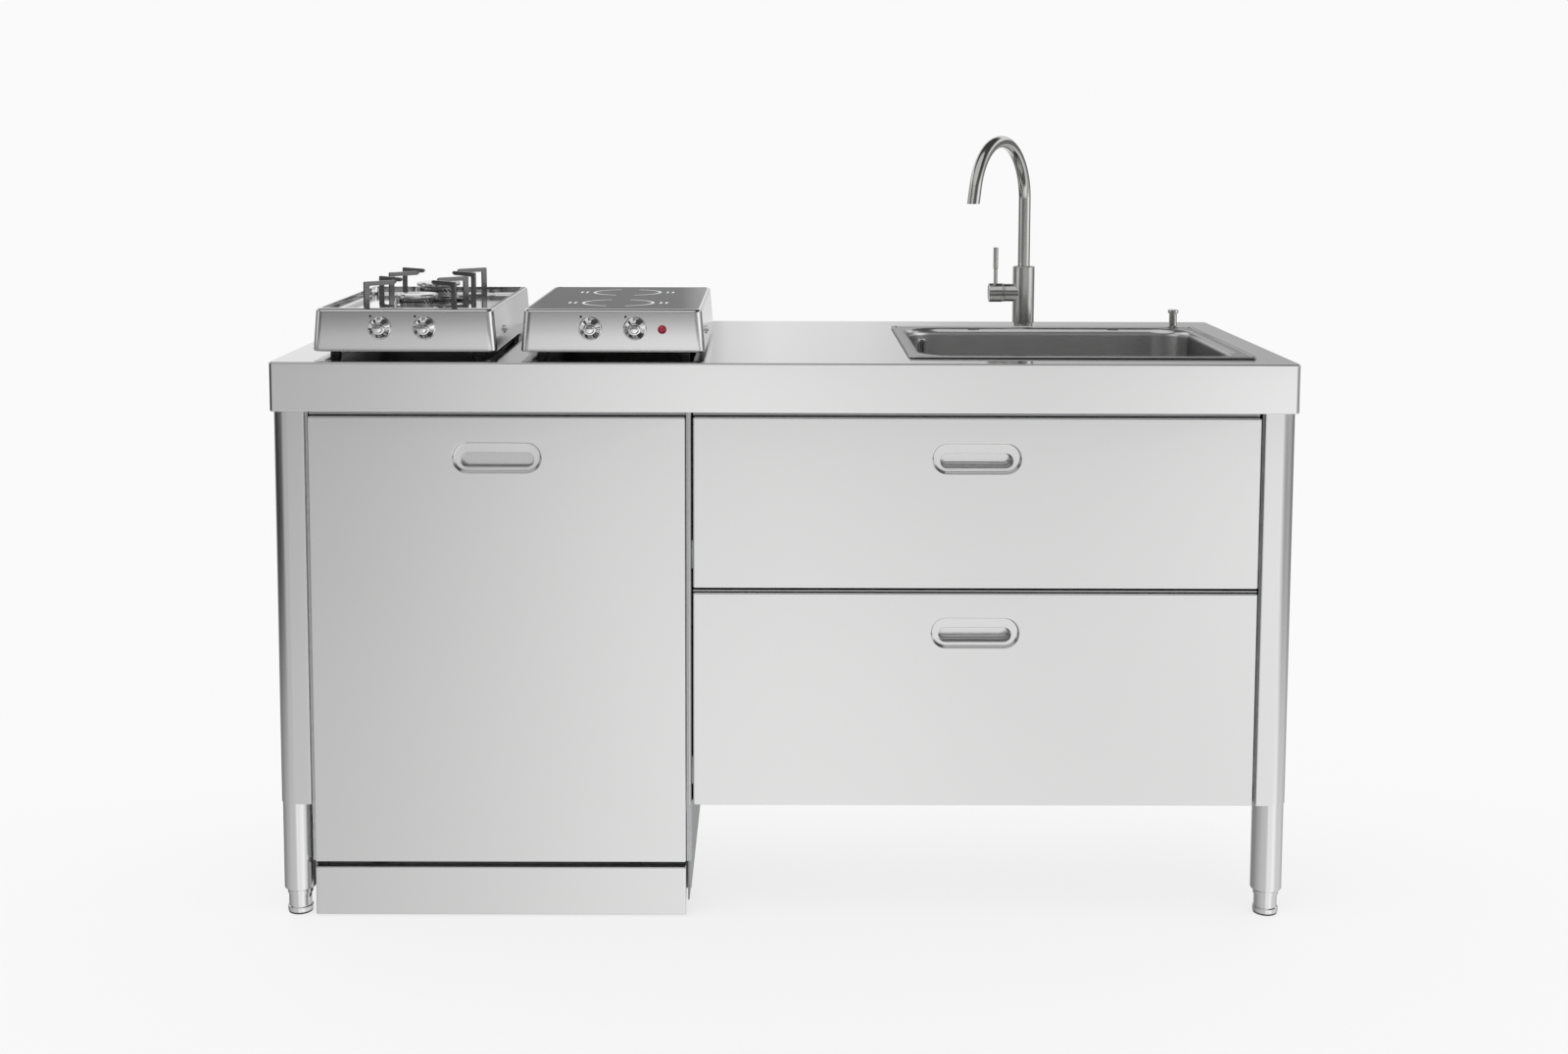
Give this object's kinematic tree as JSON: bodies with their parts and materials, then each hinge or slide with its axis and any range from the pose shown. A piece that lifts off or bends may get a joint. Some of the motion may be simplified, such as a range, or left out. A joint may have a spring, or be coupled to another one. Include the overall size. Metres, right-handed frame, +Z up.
{
  "type": "kitchen sink unit",
  "caption": "Free-standing stainless steel kitchen unit with inset sink, swan-neck mixer tap, tilting gas and glass hobs, drawers and a dishwasher door.",
  "frame": {"origin": "middle of the unit on the floor", "axes": "+X to the right along the worktop, +Y to the back, +Z up"},
  "size_m": [1.6, 0.65, 1.2409],
  "materials": {
    "steel_sheet": "fine brushed, satin",
    "steel_front": "satin brushed",
    "steel_tube": "turned and polished",
    "tap_steel": "brushed, slightly glossy",
    "bowl_steel": "satin, drawn",
    "chrome": "polished",
    "frame_steel": "plain zinc grey",
    "tub_steel": "satin",
    "cast": "matt enamel",
    "burner_alloy": "satin",
    "dark_rubber": "matt",
    "grey_plastic": "fine grain",
    "white_plastic": "smooth",
    "wire_coat": "smooth coated wire",
    "board": "waterproof board",
    "brass": "machined",
    "dark_glass": "dark ceramic glass with printed zones",
    "red_lens": "red lens"
  },
  "bodies": {
    "cabinet": {"worktop": "steel_sheet", "worktop_core": "board", "side_panel_left": "steel_front", "side_panel_right": "steel_front", "leg_tubes": "steel_tube", "partition_panel": "steel_front", "back_panel": "steel_front", "cabinet_floor": "steel_front", "cross_rails": "frame_steel", "slide_tracks": "frame_steel", "sink_bowl": "bowl_steel", "sink_clamps": "frame_steel", "overflow_cover": "chrome", "drain_body": "chrome", "drain_trap": "white_plastic", "popup_guide": "tap_steel", "tap_base_ring": "tap_steel", "tap_body": "tap_steel", "tap_shank": "brass", "plinth_panel": "steel_front", "dishwasher_base": "grey_plastic", "dishwasher_tub": "tub_steel", "tub_seal": "dark_rubber", "upper_rack": "wire_coat", "lower_rack": "wire_coat", "sump_filter": "grey_plastic", "hob_hinges": "frame_steel"},
    "door": {"door_panel": "steel_front", "door_liner": "tub_steel"},
    "lower_drawer": {"lower_drawer_front": "steel_front", "lower_drawer_box": "frame_steel", "lower_drawer_slides": "frame_steel"},
    "upper_drawer": {"upper_drawer_front": "steel_front", "upper_drawer_box": "frame_steel", "upper_drawer_slides": "frame_steel"},
    "gas_hob": {"gas_hob_case": "steel_sheet", "gas_hob_tray": "steel_sheet", "burner_bodies": "burner_alloy", "burner_caps": "burner_alloy", "pan_supports": "cast", "gas_hob_feet": "dark_rubber"},
    "glass_hob": {"glass_hob_case": "steel_sheet", "hob_glass": "dark_glass", "pilot_lamp": "red_lens", "glass_hob_feet": "dark_rubber"},
    "swivel_spout": {"spout": "tap_steel"},
    "tap_cap": {"lever_cap": "tap_steel"},
    "tap_lever": {"lever_pin": "tap_steel"},
    "waste_knob": {"popup_knob": "tap_steel"},
    "plug": {"waste_plug": "chrome"},
    "upper_arm": {"upper_spray_arm": "grey_plastic"},
    "lower_arm": {"lower_spray_arm": "grey_plastic"},
    "gas_knob_left_body": {"gas_knob_left": "chrome"},
    "gas_knob_right_body": {"gas_knob_right": "chrome"},
    "glass_knob_left_body": {"glass_knob_left": "chrome"},
    "glass_knob_right_body": {"glass_knob_right": "chrome"},
    "foot_front_left_body": {"foot_front_left": "steel_tube"},
    "foot_front_right_body": {"foot_front_right": "steel_tube"},
    "foot_rear_left_body": {"foot_rear_left": "steel_tube"},
    "foot_rear_right_body": {"foot_rear_right": "steel_tube"}
  },
  "joints": [
    {"name": "dishwasher_door", "type": "hinge", "parent": "cabinet", "child": "door", "pos_m": [-0.449, -0.29, 0.14], "axis": [1, 0, 0], "range_deg": [0, 90]},
    {"name": "drawer_lower", "type": "slide", "parent": "cabinet", "child": "lower_drawer", "axis": [0, -1, 0], "range_m": [0, 0.36]},
    {"name": "drawer_upper", "type": "slide", "parent": "cabinet", "child": "upper_drawer", "axis": [0, -1, 0], "range_m": [0, 0.36]},
    {"name": "gas_hob_tilt", "type": "hinge", "parent": "cabinet", "child": "gas_hob", "pos_m": [-0.603, 0.183, 0.904], "axis": [-1, 0, 0], "range_deg": [0, 85]},
    {"name": "glass_hob_tilt", "type": "hinge", "parent": "cabinet", "child": "glass_hob", "pos_m": [-0.273, 0.183, 0.904], "axis": [-1, 0, 0], "range_deg": [0, 85]},
    {"name": "gas_knob_left", "type": "hinge", "parent": "gas_hob", "child": "gas_knob_left_body", "pos_m": [-0.6413, -0.254, 0.936], "axis": [0, -1, 0], "range_deg": [0, 210]},
    {"name": "gas_knob_right", "type": "hinge", "parent": "gas_hob", "child": "gas_knob_right_body", "pos_m": [-0.5707, -0.254, 0.936], "axis": [0, -1, 0], "range_deg": [0, 210]},
    {"name": "glass_knob_left", "type": "hinge", "parent": "glass_hob", "child": "glass_knob_left_body", "pos_m": [-0.3083, -0.254, 0.936], "axis": [0, -1, 0], "range_deg": [0, 300]},
    {"name": "glass_knob_right", "type": "hinge", "parent": "glass_hob", "child": "glass_knob_right_body", "pos_m": [-0.2377, -0.254, 0.936], "axis": [0, -1, 0], "range_deg": [0, 300]},
    {"name": "spout_swivel", "type": "hinge", "parent": "cabinet", "child": "swivel_spout", "pos_m": [0.442, 0.2335, 1.002], "axis": [0, 0, 1], "continuous": true},
    {"name": "lever_temperature", "type": "hinge", "parent": "cabinet", "child": "tap_cap", "pos_m": [0.404, 0.2335, 0.953], "axis": [1, 0, 0], "range_deg": [-45, 45]},
    {"name": "lever_flow", "type": "hinge", "parent": "tap_cap", "child": "tap_lever", "pos_m": [0.3905, 0.2335, 0.953], "axis": [0, -1, 0], "range_deg": [0, 20]},
    {"name": "popup_lift", "type": "slide", "parent": "cabinet", "child": "waste_knob", "axis": [0, 0, 1], "range_m": [0, 0.015]},
    {"name": "plug_lift", "type": "slide", "parent": "cabinet", "child": "plug", "axis": [0, 0, 1], "range_m": [0, 0.009]},
    {"name": "spray_arm_lower", "type": "hinge", "parent": "cabinet", "child": "lower_arm", "pos_m": [-0.449, -0.002, 0.18], "axis": [0, 0, 1], "continuous": true},
    {"name": "spray_arm_upper", "type": "hinge", "parent": "cabinet", "child": "upper_arm", "pos_m": [-0.449, -0.002, 0.4594], "axis": [0, 0, 1], "continuous": true},
    {"name": "levelling_foot_front_left", "type": "slide", "parent": "cabinet", "child": "foot_front_left_body", "axis": [0, 0, -1], "range_m": [0, 0.025]},
    {"name": "levelling_foot_front_right", "type": "slide", "parent": "cabinet", "child": "foot_front_right_body", "axis": [0, 0, -1], "range_m": [0, 0.025]},
    {"name": "levelling_foot_rear_left", "type": "slide", "parent": "cabinet", "child": "foot_rear_left_body", "axis": [0, 0, -1], "range_m": [0, 0.025]},
    {"name": "levelling_foot_rear_right", "type": "slide", "parent": "cabinet", "child": "foot_rear_right_body", "axis": [0, 0, -1], "range_m": [0, 0.025]}
  ],
  "couplings": [
    {"joint": "plug_lift", "follows": "popup_lift", "ratio": 0.6}
  ]
}
